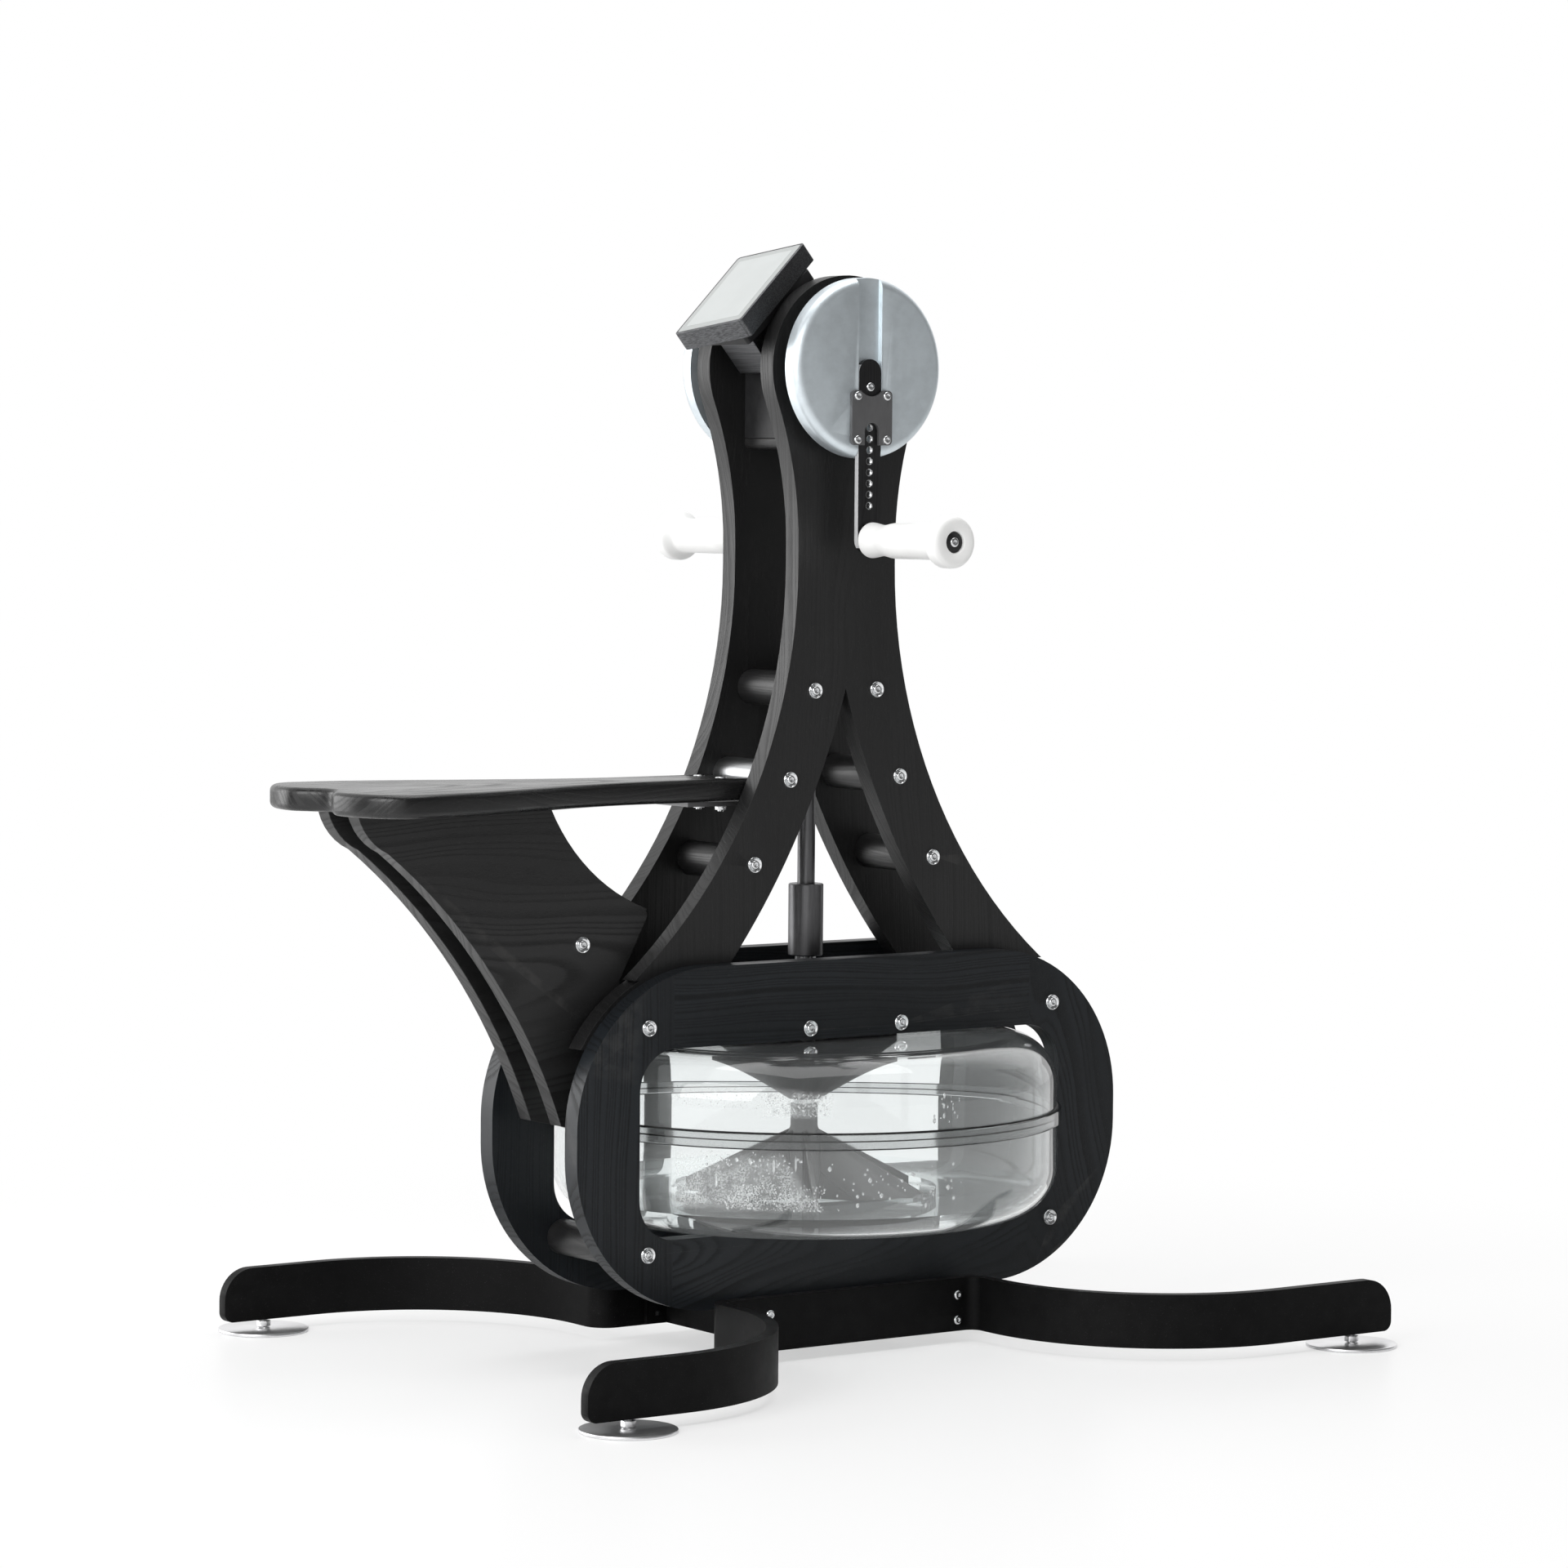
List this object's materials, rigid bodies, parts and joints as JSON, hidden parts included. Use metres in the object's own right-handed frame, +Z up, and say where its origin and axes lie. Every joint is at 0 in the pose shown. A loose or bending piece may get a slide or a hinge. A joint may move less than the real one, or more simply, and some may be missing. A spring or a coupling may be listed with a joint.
{
  "type": "upper-body crank trainer",
  "caption": "Black wood and steel upper-body crank trainer with a seat, hand cranks on aluminium drums, a small monitor, and a bevel-geared shaft driving a paddle in a clear water tank.",
  "frame": {"origin": "on the floor, under the middle of the whole machine's box", "axes": "+Z up; -X towards the seat and the seated user's back; +X away from the user; -Y is the user's right hand, because the user faces +X; the crank axle lies along Y"},
  "size_m": [1.088, 0.778, 1.1256],
  "materials": {
    "stained_ash": "black-stained open-pored ash, satin",
    "dark_dowel": "black-stained dowel, satin",
    "black_base": "fine matte black powder coat",
    "bright_steel": "fine turned and brushed",
    "screw_chrome": "polished",
    "drum_aluminium": "satin blasted",
    "dark_steel": "dark grey satin",
    "arm_steel": "black oxide face with bright worn sides",
    "black_plastic": "fine grained",
    "white_grip": "smooth satin",
    "clear_tank": "clear polished plastic",
    "water": "clear water",
    "screen": "pale grey blank display",
    "rubber": "soft black rubber"
  },
  "bodies": {
    "frame": {"panel_right": "stained_ash", "panel_left": "stained_ash", "upright_right": "stained_ash", "upright_left": "stained_ash", "panel_dowels": "dark_dowel", "upright_dowels": "dark_dowel", "seat_bar": "bright_steel", "tank_bars": "dark_dowel", "frame_screws": "screw_chrome", "cup_washers": "screw_chrome", "base_bar_right": "black_base", "base_bar_left": "black_base", "cross_channel_rear": "black_base", "cross_channel_front": "black_base", "base_screws": "screw_chrome", "tank_lower": "clear_tank", "tank_upper": "clear_tank", "tank_band": "clear_tank", "tank_gasket": "rubber", "water": "water", "bearing_cone": "black_plastic", "tank_cushions": "rubber", "gearbox_housing": "black_plastic", "gearbox_board": "stained_ash", "head_bearings": "bright_steel", "shaft_bearing": "bright_steel", "monitor_block": "black_plastic", "monitor_plate": "black_plastic", "seat_board": "stained_ash", "gusset_right": "stained_ash", "gusset_left": "stained_ash", "gusset_spacer": "dark_dowel", "seat_bracket": "dark_steel", "seat_screws": "screw_chrome", "seat_batten": "stained_ash"},
    "crank": {"crank_axle": "bright_steel", "crank_gear": "dark_steel", "drum_right": "drum_aluminium", "drum_left": "drum_aluminium", "clamp_plate_right": "dark_steel", "clamp_plate_left": "dark_steel", "clamp_screws": "screw_chrome"},
    "arm_right": {"arm_right": "arm_steel", "arm_fittings_right": "bright_steel"},
    "arm_left": {"arm_left": "arm_steel", "arm_fittings_left": "bright_steel"},
    "grip_right": {"grip_right": "white_grip"},
    "grip_left": {"grip_left": "white_grip"},
    "rotor": {"drive_shaft": "dark_steel", "coupling_sleeve": "dark_steel", "tank_shaft": "bright_steel", "paddle": "black_plastic", "pinion": "dark_steel"},
    "monitor": {"monitor_case": "black_plastic", "monitor_screen": "screen"},
    "foot_rear_right": {"foot_rear_right": "bright_steel"},
    "foot_rear_left": {"foot_rear_left": "bright_steel"},
    "foot_front_right": {"foot_front_right": "bright_steel"},
    "foot_front_left": {"foot_front_left": "bright_steel"},
    "fill_plug": {"fill_plug": "black_plastic"}
  },
  "joints": [
    {"name": "crank_spin", "type": "hinge", "parent": "frame", "child": "crank", "pos_m": [0.044, 0, 0.999], "axis": [0, 1, 0], "continuous": true},
    {"name": "rotor_spin", "type": "hinge", "parent": "frame", "child": "rotor", "pos_m": [0.044, 0, 0.4], "axis": [0, 0, 1], "continuous": true},
    {"name": "arm_slide_right", "type": "slide", "parent": "crank", "child": "arm_right", "axis": [0, 0, 1], "range_m": [0, 0.046]},
    {"name": "arm_slide_left", "type": "slide", "parent": "crank", "child": "arm_left", "axis": [0, 0, 1], "range_m": [0, 0.046]},
    {"name": "grip_spin_right", "type": "hinge", "parent": "arm_right", "child": "grip_right", "pos_m": [0.044, -0.177, 0.826], "axis": [0, 1, 0], "continuous": true},
    {"name": "grip_spin_left", "type": "hinge", "parent": "arm_left", "child": "grip_left", "pos_m": [0.044, 0.177, 0.826], "axis": [0, 1, 0], "continuous": true},
    {"name": "monitor_swivel", "type": "hinge", "parent": "frame", "child": "monitor", "pos_m": [-0.045, 0, 1.079], "axis": [-0.6428, 0, 0.766], "range_deg": [-12, 78]},
    {"name": "fill_plug_pull", "type": "slide", "parent": "frame", "child": "fill_plug", "axis": [0, 0, 1], "range_m": [0, 0.03]},
    {"name": "foot_rear_right_level", "type": "slide", "parent": "frame", "child": "foot_rear_right", "axis": [0, 0, 1], "range_m": [-0.008, 0.001]},
    {"name": "foot_rear_left_level", "type": "slide", "parent": "frame", "child": "foot_rear_left", "axis": [0, 0, 1], "range_m": [-0.008, 0.001]},
    {"name": "foot_front_right_level", "type": "slide", "parent": "frame", "child": "foot_front_right", "axis": [0, 0, 1], "range_m": [-0.008, 0.001]},
    {"name": "foot_front_left_level", "type": "slide", "parent": "frame", "child": "foot_front_left", "axis": [0, 0, 1], "range_m": [-0.008, 0.001]}
  ],
  "couplings": [
    {"joint": "rotor_spin", "follows": "crank_spin", "ratio": 2}
  ]
}
